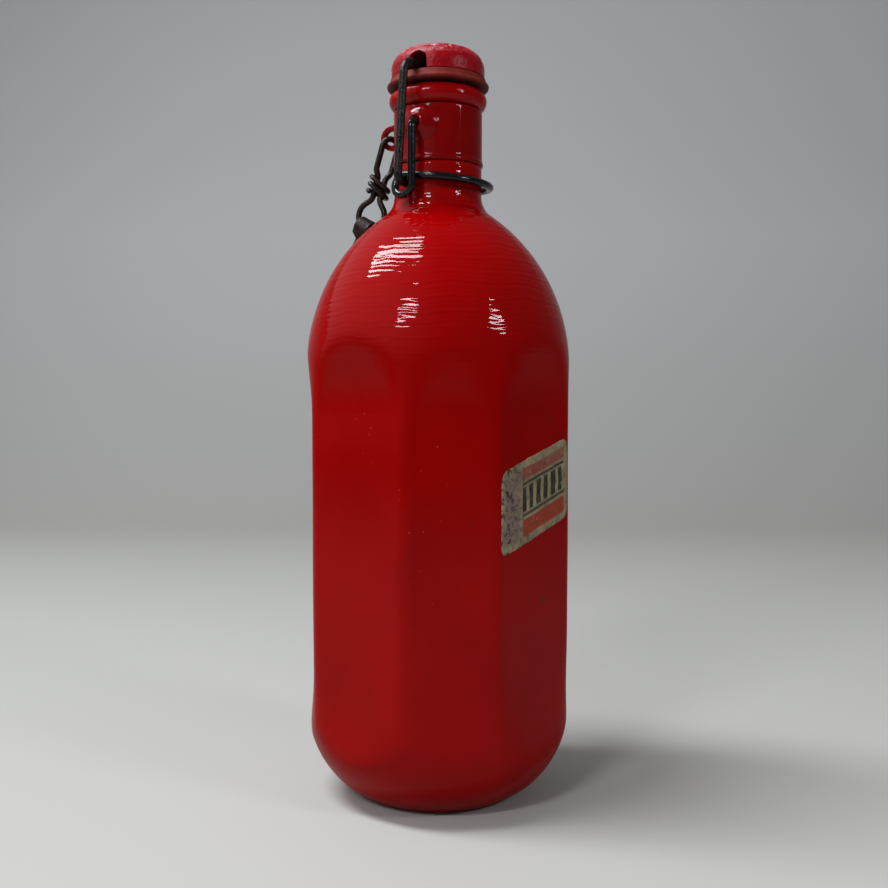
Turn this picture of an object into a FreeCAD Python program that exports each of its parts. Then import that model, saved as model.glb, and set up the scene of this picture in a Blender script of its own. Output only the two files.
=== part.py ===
import FreeCAD, Part
import math
import os
import Sketcher

# Swing top bottle: a hollow aluminium flask with eight flats, a sleeve on its neck,
# a wire lever and yoke that hold down a stopper, and a wire link with a strap at the back.
# Millimetres. Z is up, the base stands on Z = 0 and the bottle axis is the Z axis.
# The lever handle is at the front (-Y) and the pivots of the lever lie along X.

doc = FreeCAD.newDocument("swing_top_bottle")
sheet = doc.addObject("Spreadsheet::Sheet", "Sizes")

driving_sizes = {
    # bottle shell
    "corner_radius": 41.1,
    "wide_depth": 3.7,
    "narrow_depth": 1.8,
    "body_turn_angle": -13.6,
    "flat_drop": 15.1,
    "flat_rise": 12.0,
    "flat_round": 63.0,
    "flat_end_angle": 40.0,
    "wall": 1.3,
    "punt_rise": 4.0,
    "punt_flat": 3.0,
    "stand_inner": 20.0,
    "stand_outer": 24.18,
    "base_round": 30.0,
    "shoulder_height": 133.1,
    "shoulder_round": 56.9,
    "neck_step": 1.7,
    "neck_round": 8.0,
    "neck_length": 8.86,
    "tube_radius": 11.9,
    "tube_wall": 1.7,
    "lip_offset": 0.2,
    "lip_round": 3.1,
    "lip_rise": 3.2,
    # neck collar
    "collar_length": 17.1,
    "collar_wall": 1.85,
    "collar_edge": 0.35,
    "collar_edge_length": 1.2,
    "press_gap": 0.04,
    "pivot_rise": 11.2,
    "boss_margin": 0.3,
    "boss_top": 2.7,
    "boss_rise": 2.25,
    "boss_edge": 0.6,
    "boss_sink": 1.7,
    "boss_round": 5.5,
    "running_gap": 0.06,
    "ear_offset": 2.35,
    "ear_rise": 11.0,
    "ear_radius": 4.0,
    "ear_root": 10.4,
    "ear_thickness": 2.0,
    "ear_hole": 2.3,
    # lever wire
    "lever_wire": 2.4,
    "lever_side_gap": 0.85,
    "lever_end_gap": 0.6,
    "lever_bend": 2.2,
    "eye_drop": 18.5,
    "eye_radius": 3.3,
    "arm_inset": 2.9,
    "handle_front": 16.2,
    "handle_drop": 17.5,
    # yoke wire
    "bail_wire": 2.5,
    "side_gap": 0.3,
    "hook_inset": 2.85,
    "hook_back": 3.2,
    "hook_lift": 0.35,
    "hook_bend": 2.0,
    "bail_bend": 4.6,
    "crossbar_back": 0.9,
    # stopper
    "seal_gap": 0.45,
    "seal_thickness": 3.3,
    "seal_edge": 16.1,
    "seal_edge_height": 1.2,
    "seal_round": 1.2,
    "seal_top": 14.75,
    "stem_radius": 6.4,
    "plug_radius": 7.6,
    "plug_length": 3.9,
    "plug_taper": 1.6,
    "cap_radius": 14.6,
    "cap_side": 2.8,
    "cap_round": 4.6,
    "cap_crown": 1.7,
    "cap_flat": 0.8,
    "cap_height": 10.3,
    "channel_width": 5.8,
    "channel_side": 2.5,
    # link, binding and strap
    "link_wire": 1.9,
    "link_gap": 0.4,
    "link_turn_angle": 30.0,
    "link_seat": 0.3,
    "link_loop": 2.8,
    "link_loop_length": 10.6,
    "link_bend": 3.0,
    "waist_half": 1.38,
    "waist_top": 12.8,
    "waist_bottom": 20.0,
    "waist_bend": 2.4,
    "ring_radius": 4.7,
    "binding_wire": 1.5,
    "binding_gap": 0.1,
    "binding_pitch": 2.2,
    "binding_turns": 2.25,
    "binding_slope_angle": 18.0,
    "strap_thickness": 1.4,
    "strap_width": 3.6,
    "strap_gap": 0.45,
    "strap_lead": 3.5,
    "strap_tail": 10.3,
    "fold_angle": 60.0,
    "fold_gap": 0.38,
    "fold_slit": 0.3,
    "fold_length": 7.0,
    "fold_pinch": 0.6,
    "fold_inner_width": 2.2,
    "fold_outer_width": 2.6,
    "rivet_setback": 2.7,
    "rivet_radius": 0.7,
    "rivet_head": 1.4,
    "rivet_head_height": 0.6,
    # sticker
    "sticker_thickness": 0.16,
    "sticker_gap": 0.02,
    "sticker_half_width": 16.9,
    "sticker_drop": 6.2,
    "sticker_height": 24.8,
    "sticker_rise_height": 9.6,
    "sticker_corner": 3.0,
}

row = 1
for size_name, size_value in driving_sizes.items():
    sheet.set("A%d" % row, size_name)
    sheet.set("B%d" % row, str(size_value))
    sheet.setAlias("B%d" % row, size_name)
    row += 1

# Places that follow from the sizes. The link leans out until its lower loop lies on the shoulder,
# the strap is folded over that loop, and the sticker keeps to the top of its flat.
derived_sizes = {
    "neck_radius": "=tube_radius + neck_step",
    "mouth_radius": "=tube_radius - tube_wall",
    "lip_ring": "=tube_radius + lip_offset",
    "base_height": "=sqrt(base_round^2 - (stand_outer - corner_radius + base_round)^2)",
    "wide_flat": "=corner_radius - wide_depth",
    "narrow_flat": "=corner_radius - narrow_depth",
    "flat_bottom": "=base_height + flat_rise",
    "flat_top": "=shoulder_height - flat_drop",
    "flat_far": "=corner_radius * 1.4",
    "dome_place": "=corner_radius - shoulder_round",
    "neck_centre": "=neck_radius + neck_round",
    "blend": "=shoulder_round + neck_round",
    "blend_rise": "=sqrt(blend^2 - (neck_centre - dome_place)^2)",
    "neck_start": "=shoulder_height + blend_rise",
    "collar_radius": "=tube_radius + collar_wall",
    "boss_reach": "=collar_radius + boss_rise",
    "ear_reach": "=collar_radius + ear_offset",
    "lever_half_width": "=boss_reach + lever_side_gap + lever_wire / 2",
    "lever_inner_end": "=tube_radius + lever_end_gap",
    "arm_half_width": "=lever_half_width - arm_inset",
    "hook_inner_end": "=lever_half_width - hook_inset",
    "collar_bottom": "=neck_start + neck_length",
    "collar_top": "=collar_bottom + collar_length",
    "lip_height": "=collar_top + lip_rise",
    "pivot_height": "=collar_bottom + pivot_rise",
    "handle_height": "=pivot_height - handle_drop",
    "boss_base": "=sqrt(collar_radius^2 - (collar_radius - boss_sink)^2) - boss_margin",
    "ear_height": "=collar_bottom + ear_rise",
    "ear_to_dome": "=sqrt((ear_reach - dome_place)^2 + (ear_height - shoulder_height)^2)",
    "ring_corner": "=ring_radius * sqrt(2)",
    "ring_drop": "=waist_bottom + ring_corner - waist_half",
    "ring_to_dome": "=shoulder_round + link_gap + link_wire / 2 + ring_radius",
    "link_lean": "=acos((ear_to_dome^2 + ring_drop^2 - ring_to_dome^2) / (2 * ear_to_dome * ring_drop))",
    "link_tilt": "=link_lean - atan((ear_reach - dome_place) / (ear_height - shoulder_height))",
    "loop_y": "=ear_reach + ring_drop * sin(link_tilt)",
    "loop_z": "=ear_height - ring_drop * cos(link_tilt)",
    "fold_rise": "=sqrt(ring_radius^2 - fold_outer_width^2)",
    "fold_radius": "=ring_radius - fold_rise + link_wire / 2 * ring_radius / fold_rise + fold_gap",
    "fold_y": "=loop_y + ring_radius * cos(fold_angle * 1deg)",
    "fold_z": "=loop_z - ring_radius * sin(fold_angle * 1deg)",
    "strap_inner": "=shoulder_round + strap_gap",
    "strap_outer": "=shoulder_round + strap_gap + strap_width",
    "strap_middle": "=shoulder_round + strap_gap + strap_width / 2",
    "strap_turn": "=180 / pi / strap_middle",
    "fold_place_angle": "=atan((fold_z - shoulder_height) / (fold_y - dome_place)) / 1deg",
    "strap_start_angle": "=fold_place_angle - strap_lead * strap_turn",
    "rivet_angle": "=fold_place_angle - (fold_length + rivet_setback) * strap_turn",
    "strap_end_angle": "=rivet_angle - strap_tail * strap_turn",
    "sticker_low_height": "=flat_top - sticker_drop - sticker_rise_height - sticker_height",
}
for size_name, formula in derived_sizes.items():
    sheet.set("A%d" % row, size_name)
    sheet.set("B%d" % row, formula)
    sheet.setAlias("B%d" % row, size_name)
    row += 1
doc.recompute()


def value(expression):
    """Number that an expression on the sheet gives."""
    result = sheet.evalExpression(expression)
    return float(getattr(result, "Value", result))


def spread(text):
    """Expression with every driving size written as Sizes.name."""
    words = []
    word = ""
    for letter in text + " ":
        if letter.isalnum() or letter == "_":
            word += letter
            continue
        if word in driving_sizes or word in derived_sizes:
            word = "Sizes." + word
        words.append(word)
        words.append(letter)
        word = ""
    return "".join(words).strip()


def plane(body, role):
    """Origin plane or axis of a body."""
    for feature in body.Origin.OriginFeatures:
        if feature.Role == role:
            return feature
    return None


def outline(body, name, role, corners, bends, offset=None):
    """Closed sketch through corners given as expressions.

    bends maps the index of a side to (radius expression, turn): the side from that corner to
    the next one is then an arc, which turns left (1) or right (-1).
    """
    sketch = body.newObject("Sketcher::SketchObject", name)
    sketch.AttachmentSupport = [(plane(body, role), "")]
    sketch.MapMode = "FlatFace"
    if offset is not None:
        sketch.AttachmentOffset = offset
    points = []
    for across, along in corners:
        points.append(FreeCAD.Vector(value(spread(across)), value(spread(along)), 0))
    count = len(points)
    for index in range(count):
        start = points[index]
        end = points[(index + 1) % count]
        if index in bends:
            radius = value(spread(bends[index][0]))
            turn = bends[index][1]
            chord = end.sub(start)
            half = chord.Length / 2
            normal = FreeCAD.Vector(-chord.y, chord.x, 0).normalize()
            rise = math.sqrt(max(radius * radius - half * half, 0.0))
            centre = start + chord * 0.5 + normal * rise * turn
            middle = centre - normal * radius * turn
            if turn > 0:
                sketch.addGeometry(Part.Arc(start, middle, end), False)
            else:
                sketch.addGeometry(Part.Arc(end, middle, start), False)
        else:
            sketch.addGeometry(Part.LineSegment(start, end), False)
    heads = []
    for index in range(count):
        geometry = sketch.Geometry[index]
        from_start = geometry.StartPoint.distanceToPoint(points[index])
        from_end = geometry.EndPoint.distanceToPoint(points[index])
        heads.append(1 if from_start < from_end else 2)
    for index in range(count):
        follower = (index + 1) % count
        sketch.addConstraint(
            Sketcher.Constraint("Coincident", index, 3 - heads[index], follower, heads[follower]))
    for index in range(count):
        end = heads[index]
        pin(sketch, "DistanceX", index, end, points[index].x, spread(corners[index][0]), -2)
        pin(sketch, "DistanceY", index, end, points[index].y, spread(corners[index][1]), -1)
        if index in bends:
            number = sketch.addConstraint(
                Sketcher.Constraint("Radius", index, value(spread(bends[index][0]))))
            sketch.setExpression("Constraints[%d]" % number, spread(bends[index][0]))
    return sketch


def pin(sketch, kind, side, end, number, expression, axis):
    """Hold one end of a side at a distance from the sketch origin."""
    if expression == "0":
        sketch.addConstraint(Sketcher.Constraint("PointOnObject", side, end, axis))
        return
    if number >= 0:
        index = sketch.addConstraint(Sketcher.Constraint(kind, -1, 1, side, end, number))
        sketch.setExpression("Constraints[%d]" % index, expression)
    else:
        index = sketch.addConstraint(Sketcher.Constraint(kind, side, end, -1, 1, -number))
        sketch.setExpression("Constraints[%d]" % index, "-(" + expression + ")")


def revolve(body, name, sketch):
    """Turned feature about the bottle axis."""
    feature = body.newObject("PartDesign::Revolution", name)
    feature.Profile = sketch
    feature.ReferenceAxis = (sketch, ["V_Axis"])
    feature.Angle = 360
    sketch.Visibility = False
    body.Tip = feature
    return feature


def flats(body, name, distance, end_round, start_angle):
    """Four flats pressed in a quarter turn apart, running out in a round at the top and the bottom."""
    turned = FreeCAD.Placement(FreeCAD.Vector(0, 0, 0), FreeCAD.Rotation(FreeCAD.Vector(0, 1, 0), start_angle))
    run_out = distance + " + " + end_round + " * (1 - cos(flat_end_angle * 1deg))"
    end_reach = end_round + " * sin(flat_end_angle * 1deg)"
    corners = [
        (run_out, "flat_bottom - " + end_reach),
        ("flat_far", "flat_bottom - " + end_reach),
        ("flat_far", "flat_top + " + end_reach),
        (run_out, "flat_top + " + end_reach),
        (distance, "flat_top"),
        (distance, "flat_bottom"),
    ]
    sketch = outline(body, name + "_outline", "XZ_Plane", corners, {3: (end_round, 1), 5: (end_round, 1)}, turned)
    doc.recompute()
    pocket = body.newObject("PartDesign::Pocket", name)
    pocket.Profile = sketch
    pocket.Type = 0
    pocket.Midplane = True
    pocket.setExpression("Length", "Sizes.flat_far * 2")
    body.Tip = pocket
    doc.recompute()
    pattern = body.newObject("PartDesign::PolarPattern", name + "_round")
    pattern.Originals = [pocket]
    pattern.Axis = (plane(body, "Z_Axis"), [""])
    pattern.Angle = 360
    pattern.Occurrences = 4
    body.Tip = pattern
    doc.recompute()


def unit(vector):
    """Copy of a vector with length one."""
    return FreeCAD.Vector(vector).normalize()


def bent_path(corners, bends, closed):
    """Wire of straight runs and tangent arcs: the centre line of a bent rod."""
    count = len(corners)
    pieces = []
    for index in range(count):
        corner = corners[index]
        if not closed and index in (0, count - 1):
            pieces.append((corner, None, corner))
            continue
        back = unit(corners[index - 1].sub(corner))
        ahead = unit(corners[(index + 1) % count].sub(corner))
        half = back.getAngle(ahead) / 2
        run = bends[index] / math.tan(half)
        towards = unit(back + ahead)
        centre = corner + towards * (bends[index] / math.sin(half))
        pieces.append((corner + back * run, centre - towards * bends[index], corner + ahead * run))
    edges = []
    for index in range(count):
        start, middle, end = pieces[index]
        if middle is not None:
            edges.append(Part.Arc(start, middle, end).toShape())
        if index == count - 1 and not closed:
            break
        follower = pieces[(index + 1) % count][0]
        if end.distanceToPoint(follower) > 1e-4:
            edges.append(Part.LineSegment(end, follower).toShape())
    return Part.Wire(edges)


def rod(path, diameter):
    """Round rod along a path, as one solid."""
    first = path.OrderedEdges[0]
    start = first.valueAt(first.FirstParameter)
    along = first.tangentAt(first.FirstParameter)
    section = Part.Wire([Part.makeCircle(diameter / 2, start, along)])
    shape = path.makePipeShell([section], True, False)
    if shape.ShapeType != "Solid":
        shape = Part.Solid(shape)
    if shape.Volume < 0:
        shape.reverse()
    return shape


def closed_rod(path, diameter):
    """Round rod along a closed path: two lengths joined end to end, from its longest straight run on."""
    edges = path.OrderedEdges
    straight = [edge.Length if edge.Curve.TypeId == "Part::GeomLine" else 0.0 for edge in edges]
    longest = straight.index(max(straight))
    edges = edges[longest:] + edges[:longest]
    half = len(edges) // 2
    first = rod(Part.Wire(edges[:half]), diameter)
    second = rod(Part.Wire(edges[half:]), diameter)
    return first.fuse(second).removeSplitter().Solids[0]


def least_gap(path, diameter, other=None, other_diameter=0.0):
    """Least gap between a bent wire and itself, or another wire, measured on points."""
    points = path.discretize(Distance=diameter / 6)
    step = path.Length / (len(points) - 1)
    if other is not None:
        others = other.discretize(Distance=diameter / 6)
        nearest = min(p.distanceToPoint(q) for p in points for q in others)
        return nearest - (diameter + other_diameter) / 2
    apart = int(math.pi * diameter / step)
    count = len(points)
    nearest = path.Length
    for index in range(count):
        for follower in range(index + apart, count):
            if path.isClosed() and count - follower + index < apart:
                continue
            nearest = min(nearest, points[index].distanceToPoint(points[follower]))
    return nearest - diameter


def wire_object(name, shape, placement=None):
    """Document object that holds a bent wire."""
    item = doc.addObject("Part::Feature", name)
    item.Label = name
    item.Shape = shape
    if placement is not None:
        item.Placement = placement
    return item


# The outside of the vessel: a turned form with the rolled lip at its top.
# The dome of the shoulder meets the neck in a hollow round, tangent to both.
punt_round = "((stand_inner - punt_flat)^2 + punt_rise^2) / (2 * punt_rise)"
outer_corners = [
    ("0", "punt_rise"),
    ("punt_flat", "punt_rise"),
    ("stand_inner", "0"),
    ("stand_outer", "0"),
    ("corner_radius", "base_height"),
    ("corner_radius", "shoulder_height"),
    ("dome_place + (neck_centre - dome_place) * shoulder_round / blend",
     "shoulder_height + blend_rise * shoulder_round / blend"),
    ("neck_radius", "neck_start"),
    ("neck_radius", "collar_bottom"),
    ("tube_radius", "collar_bottom"),
    ("tube_radius", "lip_height - sqrt(lip_round^2 - (lip_ring - tube_radius)^2)"),
    ("lip_ring + lip_round", "lip_height"),
    ("mouth_radius", "lip_height + sqrt(lip_round^2 - (lip_ring - mouth_radius)^2)"),
    ("0", "lip_height + sqrt(lip_round^2 - (lip_ring - mouth_radius)^2)"),
]
outer_bends = {
    1: (punt_round, -1),
    3: ("base_round", 1),
    5: ("shoulder_round", 1),
    6: ("neck_round", -1),
    10: ("lip_round", 1),
    11: ("lip_round", 1),
}
outer = doc.addObject("PartDesign::Body", "shell_outside")
revolve(outer, "outside_turned", outline(outer, "outside_outline", "XZ_Plane", outer_corners, outer_bends))
doc.recompute()
flats(outer, "broad_flats", "wide_flat", "flat_round", 0)
flats(outer, "narrow_flats", "narrow_flat", "flat_round", 45)

# The inside of the vessel: the same form, one wall smaller, open through the neck.
inner_corners = [
    ("0", "punt_rise + wall"),
    ("punt_flat", "punt_rise + wall"),
    ("stand_inner", "wall"),
    ("corner_radius - base_round + sqrt((base_round - wall)^2 - (base_height - wall)^2)", "wall"),
    ("corner_radius - wall", "base_height"),
    ("corner_radius - wall", "shoulder_height"),
    ("dome_place + (neck_centre - dome_place) * (shoulder_round - wall) / blend",
     "shoulder_height + blend_rise * (shoulder_round - wall) / blend"),
    ("neck_radius - wall", "neck_start"),
    ("neck_radius - wall", "collar_bottom - 2 * wall"),
    ("mouth_radius", "collar_bottom"),
    ("mouth_radius", "lip_height + 2 * lip_round"),
    ("0", "lip_height + 2 * lip_round"),
]
inner_bends = {
    1: (punt_round, -1),
    3: ("base_round - wall", 1),
    5: ("shoulder_round - wall", 1),
    6: ("neck_round + wall", -1),
}
inner = doc.addObject("PartDesign::Body", "shell_inside")
revolve(inner, "inside_turned", outline(inner, "inside_outline", "XZ_Plane", inner_corners, inner_bends))
doc.recompute()
flats(inner, "broad_inside_flats", "wide_flat - wall", "(flat_round + wall)", 0)
flats(inner, "narrow_inside_flats", "narrow_flat - wall", "(flat_round + wall)", 45)

turned_body = FreeCAD.Placement(FreeCAD.Vector(0, 0, 0), FreeCAD.Rotation(FreeCAD.Vector(0, 0, 1), value("body_turn_angle")))
outer.Placement = turned_body
inner.Placement = turned_body
bottle_shell = doc.addObject("Part::Cut", "bottle_shell")
bottle_shell.Label = "bottle_shell"
bottle_shell.Base = outer
bottle_shell.Tool = inner
doc.recompute()

# The neck collar: a sleeve on the neck tube with two pivot bosses and an ear at the back.
collar = doc.addObject("PartDesign::Body", "neck_collar")
collar.Label = "neck_collar"
collar_corners = [
    ("0", "collar_bottom"),
    ("collar_radius", "collar_bottom"),
    ("collar_radius + collar_edge", "collar_bottom + collar_edge"),
    ("collar_radius + collar_edge", "collar_bottom + collar_edge_length"),
    ("collar_radius", "collar_bottom + collar_edge_length + collar_edge"),
    ("collar_radius", "collar_top"),
    ("0", "collar_top"),
]
revolve(collar, "sleeve", outline(collar, "sleeve_outline", "XZ_Plane", collar_corners, {}))
doc.recompute()
boss_corners = [
    ("tube_radius", "0"),
    ("boss_reach", "0"),
    ("boss_reach", "boss_top - boss_edge"),
    ("boss_reach - boss_edge", "boss_top"),
    ("collar_radius - boss_sink", "boss_base"),
    ("tube_radius", "boss_base"),
]
at_pivot = FreeCAD.Placement(FreeCAD.Vector(0, value("pivot_height"), 0), FreeCAD.Rotation())
boss_sketch = outline(collar, "boss_outline", "XZ_Plane", boss_corners,
                      {2: ("boss_edge * 1.0001", 1), 3: ("boss_round", 1)}, at_pivot)
boss_sketch.setExpression("AttachmentOffset.Base.y", "Sizes.pivot_height")
doc.recompute()
boss = collar.newObject("PartDesign::Revolution", "pivot_boss")
boss.Profile = boss_sketch
boss.ReferenceAxis = (boss_sketch, ["H_Axis"])
boss.Angle = 360
collar.Tip = boss
doc.recompute()
boss_pair = collar.newObject("PartDesign::PolarPattern", "pivot_bosses")
boss_pair.Originals = [boss]
boss_pair.Axis = (plane(collar, "Z_Axis"), [""])
boss_pair.Angle = 360
boss_pair.Occurrences = 2
collar.Tip = boss_pair
doc.recompute()
ear_corners = [
    ("mouth_radius", "ear_height - ear_root / 2"),
    ("ear_reach", "ear_height - ear_radius"),
    ("ear_reach", "ear_height + ear_radius"),
    ("mouth_radius", "ear_height + ear_root / 2"),
]
ear_sketch = outline(collar, "ear_outline", "YZ_Plane", ear_corners, {1: ("ear_radius * 1.0001", 1)})
doc.recompute()
ear = collar.newObject("PartDesign::Pad", "ear")
ear.Profile = ear_sketch
ear.Midplane = True
ear.setExpression("Length", "Sizes.ear_thickness")
collar.Tip = ear
doc.recompute()
bore = collar.newObject("PartDesign::SubtractiveCylinder", "sleeve_bore")
bore.setExpression("Radius", "Sizes.tube_radius + Sizes.press_gap")
bore.setExpression("Height", "Sizes.collar_length * 2")
bore.Placement = FreeCAD.Placement(
    FreeCAD.Vector(0, 0, value("collar_bottom - collar_length / 2")), FreeCAD.Rotation())
collar.Tip = bore
doc.recompute()
pivot_hole = collar.newObject("PartDesign::SubtractiveCylinder", "pivot_holes")
pivot_hole.setExpression("Radius", "Sizes.lever_wire / 2 + Sizes.running_gap")
pivot_hole.setExpression("Height", "Sizes.boss_reach * 2.5")
pivot_hole.Placement = FreeCAD.Placement(
    FreeCAD.Vector(-1.25 * value("boss_reach"), 0, value("pivot_height")),
    FreeCAD.Rotation(FreeCAD.Vector(0, 1, 0), 90))
collar.Tip = pivot_hole
doc.recompute()
ear_hole = collar.newObject("PartDesign::SubtractiveCylinder", "ear_hole")
ear_hole.setExpression("Radius", "Sizes.ear_hole")
ear_hole.setExpression("Height", "Sizes.ear_thickness * 3")
ear_hole.Placement = FreeCAD.Placement(
    FreeCAD.Vector(-1.5 * value("ear_thickness"), value("ear_reach"), value("ear_height")),
    FreeCAD.Rotation(FreeCAD.Vector(0, 1, 0), 90))
collar.Tip = ear_hole
doc.recompute()

# The lever wire: pivot end, leg, coiled eye, arm and half of the handle, then the same mirrored.
lever_side = value("lever_half_width")
arm_side = value("arm_half_width")
pivot_z = value("pivot_height")
eye_radius = value("eye_radius")
eye_z = value("pivot_height - eye_drop")
half_lever = [
    FreeCAD.Vector(-value("lever_inner_end"), 0, pivot_z),
    FreeCAD.Vector(-lever_side, 0, pivot_z),
    FreeCAD.Vector(-lever_side, 0, eye_z - eye_radius),
    FreeCAD.Vector(-(lever_side + arm_side) / 2, 2 * eye_radius, eye_z - eye_radius),
    FreeCAD.Vector(-arm_side, 2 * eye_radius, eye_z + eye_radius),
    FreeCAD.Vector(-arm_side, -value("handle_front"), value("handle_height")),
]
eye_bend = eye_radius * 0.95
half_bends = [0, value("lever_bend"), eye_bend, eye_bend, eye_bend, arm_side * 0.985]
lever_corners = half_lever + [FreeCAD.Vector(-p.x, p.y, p.z) for p in reversed(half_lever)]
lever_bends = half_bends + list(reversed(half_bends))
lever_path = bent_path(lever_corners, lever_bends, False)
lever_wire = wire_object("lever_wire", rod(lever_path, value("lever_wire")))
print("lever_wire least gap to itself %.2f mm" % least_gap(lever_path, value("lever_wire")))

# The yoke wire: hooks in the eyes of the lever, two legs and a bar across through the cap.
bail_side = value("lever_half_width + lever_wire / 2 + side_gap + bail_wire / 2")
seal_bottom = value("lip_height + lip_round + seal_gap")
cap_bottom = seal_bottom + value("seal_thickness")
bar_z = cap_bottom + value("bail_wire / 2 + side_gap")
bar_y = value("crossbar_back")
hook_y = value("hook_back")
hook_z = eye_z + value("hook_lift")
half_bail = [
    FreeCAD.Vector(-value("hook_inner_end"), hook_y, hook_z),
    FreeCAD.Vector(-bail_side, hook_y, hook_z),
    FreeCAD.Vector(-bail_side, bar_y, bar_z),
]
bail_bends = [0, value("hook_bend"), value("bail_bend"), value("bail_bend"), value("hook_bend"), 0]
bail_corners = half_bail + [FreeCAD.Vector(-p.x, p.y, p.z) for p in reversed(half_bail)]
bail_wire = wire_object("bail_wire", rod(bent_path(bail_corners, bail_bends, False), value("bail_wire")))

# The stopper: plug, stem and domed cap in one moulding, with an arched channel for the yoke.
seal_base = "(lip_height + lip_round + seal_gap)"
cap_base = "(" + seal_base + " + seal_thickness)"
cap_shoulder = "(" + cap_base + " + cap_side)"
cap_top = "(" + cap_base + " + cap_height)"
stopper = doc.addObject("PartDesign::Body", "stopper_cap")
stopper.Label = "stopper_cap"
stopper_corners = [
    ("0", seal_base + " - plug_length"),
    ("plug_radius - plug_taper", seal_base + " - plug_length"),
    ("plug_radius", seal_base + " - plug_length / 2"),
    ("plug_radius", seal_base + " - press_gap"),
    ("stem_radius", seal_base + " - press_gap"),
    ("stem_radius", cap_base),
    ("cap_radius", cap_base),
    ("cap_radius", cap_shoulder),
    ("cap_radius - cap_round", cap_top + " - cap_crown"),
    ("cap_flat", cap_top),
    ("0", cap_top),
]
corner_rise = "(cap_height - cap_side - cap_crown)"
stopper_bends = {
    7: ("(cap_round^2 + " + corner_rise + "^2) / (2 * cap_round) * 1.02", 1),
    8: ("((cap_radius - cap_round - cap_flat)^2 + cap_crown^2) / (2 * cap_crown)", 1),
}
revolve(stopper, "stopper_turned", outline(stopper, "stopper_outline", "XZ_Plane", stopper_corners, stopper_bends))
doc.recompute()
channel_corners = [
    ("-channel_width / 2", cap_base),
    ("channel_width / 2", cap_base),
    ("channel_width / 2", cap_base + " + channel_side"),
    ("-channel_width / 2", cap_base + " + channel_side"),
]
channel_sketch = outline(stopper, "channel_outline", "YZ_Plane", channel_corners,
                         {2: ("channel_width / 2 * 1.0001", 1)})
doc.recompute()
channel = stopper.newObject("PartDesign::Pocket", "yoke_channel")
channel.Profile = channel_sketch
channel.Midplane = True
channel.Type = 0
channel.setExpression("Length", "Sizes.cap_radius * 3")
stopper.Tip = channel
doc.recompute()

# The rubber ring on the stem: it flares down to a rim wider than the cap.
seal = doc.addObject("PartDesign::Body", "sealing_ring")
seal.Label = "sealing_ring"
seal_corners = [
    ("stem_radius + press_gap", seal_base),
    ("seal_edge - seal_round", seal_base),
    ("seal_edge", seal_base + " + seal_edge_height"),
    ("seal_top", cap_base + " - press_gap"),
    ("stem_radius + press_gap", cap_base + " - press_gap"),
]
revolve(seal, "ring_turned", outline(seal, "ring_outline", "XZ_Plane", seal_corners, {1: ("seal_round * 1.05", 1)}))
doc.recompute()

# The carry link: one closed wire with a long upper loop in the ear and a round lower loop.
# Its waist turns between the two loops. Built hanging from the origin, then tilted outwards.
link_wire = value("link_wire")
upper = FreeCAD.Vector(-math.cos(math.radians(value("link_turn_angle"))), math.sin(math.radians(value("link_turn_angle"))), 0)
lower = FreeCAD.Vector(0, 1, 0)
down = FreeCAD.Vector(0, 0, -1)
loop_half = value("link_loop")
waist = value("waist_half")
ring_radius = value("ring_radius")
ring_drop = value("ring_drop")
ring_corner = value("ring_corner")
seat = value("link_seat")
half_link = [
    upper * loop_half + down * seat,
    upper * loop_half + down * value("link_loop_length"),
    upper * waist + down * value("waist_top"),
    lower * waist + down * value("waist_bottom"),
    lower * ring_corner + down * ring_drop,
]
other_link = [FreeCAD.Vector(-p.x, -p.y, p.z) for p in reversed(half_link)]
link_corners = half_link + [down * (ring_drop + ring_corner)] + other_link
ring_bend = ring_radius * 0.98
link_bend = value("link_bend")
half_link_bends = [loop_half * 0.97, link_bend, link_bend, value("waist_bend"), ring_bend]
link_bends = half_link_bends + [ring_bend] + list(reversed(half_link_bends))
ear_point = FreeCAD.Vector(0, value("ear_reach"), value("ear_height"))
hanging = FreeCAD.Placement(ear_point, FreeCAD.Rotation(FreeCAD.Vector(1, 0, 0), value("link_tilt")))
link_path = bent_path(link_corners, link_bends, True)
carry_link = wire_object("carry_link", closed_rod(link_path, link_wire), hanging)
print("carry_link least gap to itself %.2f mm" % least_gap(link_path, link_wire))

# The binding: one wire wound round the waist of the link, sloping across it.
binding_wire = value("binding_wire")
across = unit(upper + lower)
reach = link_wire / 2 + binding_wire / 2 + value("binding_gap")
reach_wide = reach + waist
reach_thin = reach + waist * math.sin(across.getAngle(lower))
through = across.cross(down)
slope = math.tan(math.radians(value("binding_slope_angle")))
pitch = value("binding_pitch")
middle = (value("waist_top") + value("waist_bottom")) / 2
turns = value("binding_turns")
corner_count = int(turns * 4) + 1
binding_corners = []
for index in range(corner_count):
    quarter = index % 4
    wide = reach_wide if quarter in (0, 3) else -reach_wide
    thin = reach_thin if quarter in (0, 1) else -reach_thin
    drop = middle + (index / 4 - turns / 2) * pitch - slope * wide
    binding_corners.append(across * wide + through * thin + down * drop)
binding_bends = [reach_thin * 0.85] * corner_count
binding_path = bent_path(binding_corners, binding_bends, False)
link_binding = wire_object("link_binding", rod(binding_path, binding_wire), hanging)
print("link_binding least gap to itself %.2f mm" % least_gap(binding_path, binding_wire))
print("link_binding least gap to the link %.2f mm" % least_gap(binding_path, binding_wire, link_path, link_wire))
doc.recompute()

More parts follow.
